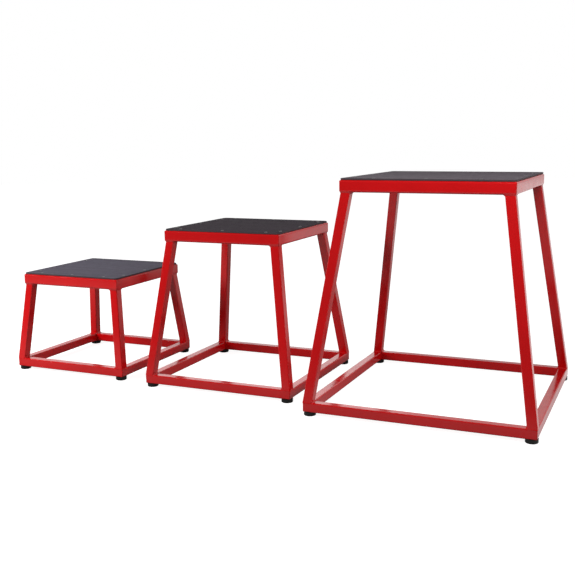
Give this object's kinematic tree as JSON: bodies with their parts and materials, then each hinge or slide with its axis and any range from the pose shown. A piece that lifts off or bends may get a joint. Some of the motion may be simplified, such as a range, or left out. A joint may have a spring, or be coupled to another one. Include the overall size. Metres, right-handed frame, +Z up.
{
  "type": "plyo box set",
  "caption": "Row of tapered welded square-tube plyometric boxes in stepped heights, each with a screwed-down non-slip mat deck and round rubber feet.",
  "frame": {"origin": "on the floor, at the middle of the row's length and of its depth", "axes": "+X along the row from the small box to the large one, -Y towards the front, +Z up"},
  "size_m": [1.615, 0.597, 0.6096],
  "materials": {
    "red_powder_coat": "gloss powder coat over welded steel tube",
    "grip_mat": "matte, finely pebbled non-slip rubber sheet",
    "plywood": "bare birch plywood",
    "zinc_plate": "bright zinc plate",
    "foot_rubber": "moulded black rubber"
  },
  "bodies": {
    "small_box": {"small_base_rail_front": "red_powder_coat", "small_base_rail_right": "red_powder_coat", "small_base_rail_rear": "red_powder_coat", "small_base_rail_left": "red_powder_coat", "small_top_rail_front": "red_powder_coat", "small_top_rail_right": "red_powder_coat", "small_top_rail_rear": "red_powder_coat", "small_top_rail_left": "red_powder_coat", "small_leg_front_left": "red_powder_coat", "small_leg_front_right": "red_powder_coat", "small_leg_rear_right": "red_powder_coat", "small_leg_rear_left": "red_powder_coat", "small_weld_beads": "red_powder_coat", "small_deck_bearers": "red_powder_coat", "small_deck_board": "plywood", "small_grip_mat": "grip_mat", "small_deck_screws": "zinc_plate", "small_feet": "foot_rubber", "small_foot_screws": "zinc_plate"},
    "medium_box": {"medium_base_rail_front": "red_powder_coat", "medium_base_rail_right": "red_powder_coat", "medium_base_rail_rear": "red_powder_coat", "medium_base_rail_left": "red_powder_coat", "medium_top_rail_front": "red_powder_coat", "medium_top_rail_right": "red_powder_coat", "medium_top_rail_rear": "red_powder_coat", "medium_top_rail_left": "red_powder_coat", "medium_leg_front_left": "red_powder_coat", "medium_leg_front_right": "red_powder_coat", "medium_leg_rear_right": "red_powder_coat", "medium_leg_rear_left": "red_powder_coat", "medium_weld_beads": "red_powder_coat", "medium_deck_bearers": "red_powder_coat", "medium_deck_board": "plywood", "medium_grip_mat": "grip_mat", "medium_deck_screws": "zinc_plate", "medium_feet": "foot_rubber", "medium_foot_screws": "zinc_plate"},
    "large_box": {"large_base_rail_front": "red_powder_coat", "large_base_rail_right": "red_powder_coat", "large_base_rail_rear": "red_powder_coat", "large_base_rail_left": "red_powder_coat", "large_top_rail_front": "red_powder_coat", "large_top_rail_right": "red_powder_coat", "large_top_rail_rear": "red_powder_coat", "large_top_rail_left": "red_powder_coat", "large_leg_front_left": "red_powder_coat", "large_leg_front_right": "red_powder_coat", "large_leg_rear_right": "red_powder_coat", "large_leg_rear_left": "red_powder_coat", "large_weld_beads": "red_powder_coat", "large_deck_bearers": "red_powder_coat", "large_deck_board": "plywood", "large_grip_mat": "grip_mat", "large_deck_screws": "zinc_plate", "large_feet": "foot_rubber", "large_foot_screws": "zinc_plate"}
  },
  "joints": [
    {"name": "medium_box_lift", "type": "slide", "parent": "large_box", "child": "medium_box", "axis": [0, 0, 1], "range_m": [0, 0.32]},
    {"name": "small_box_lift", "type": "slide", "parent": "large_box", "child": "small_box", "axis": [0, 0, 1], "range_m": [0, 0.32]}
  ]
}
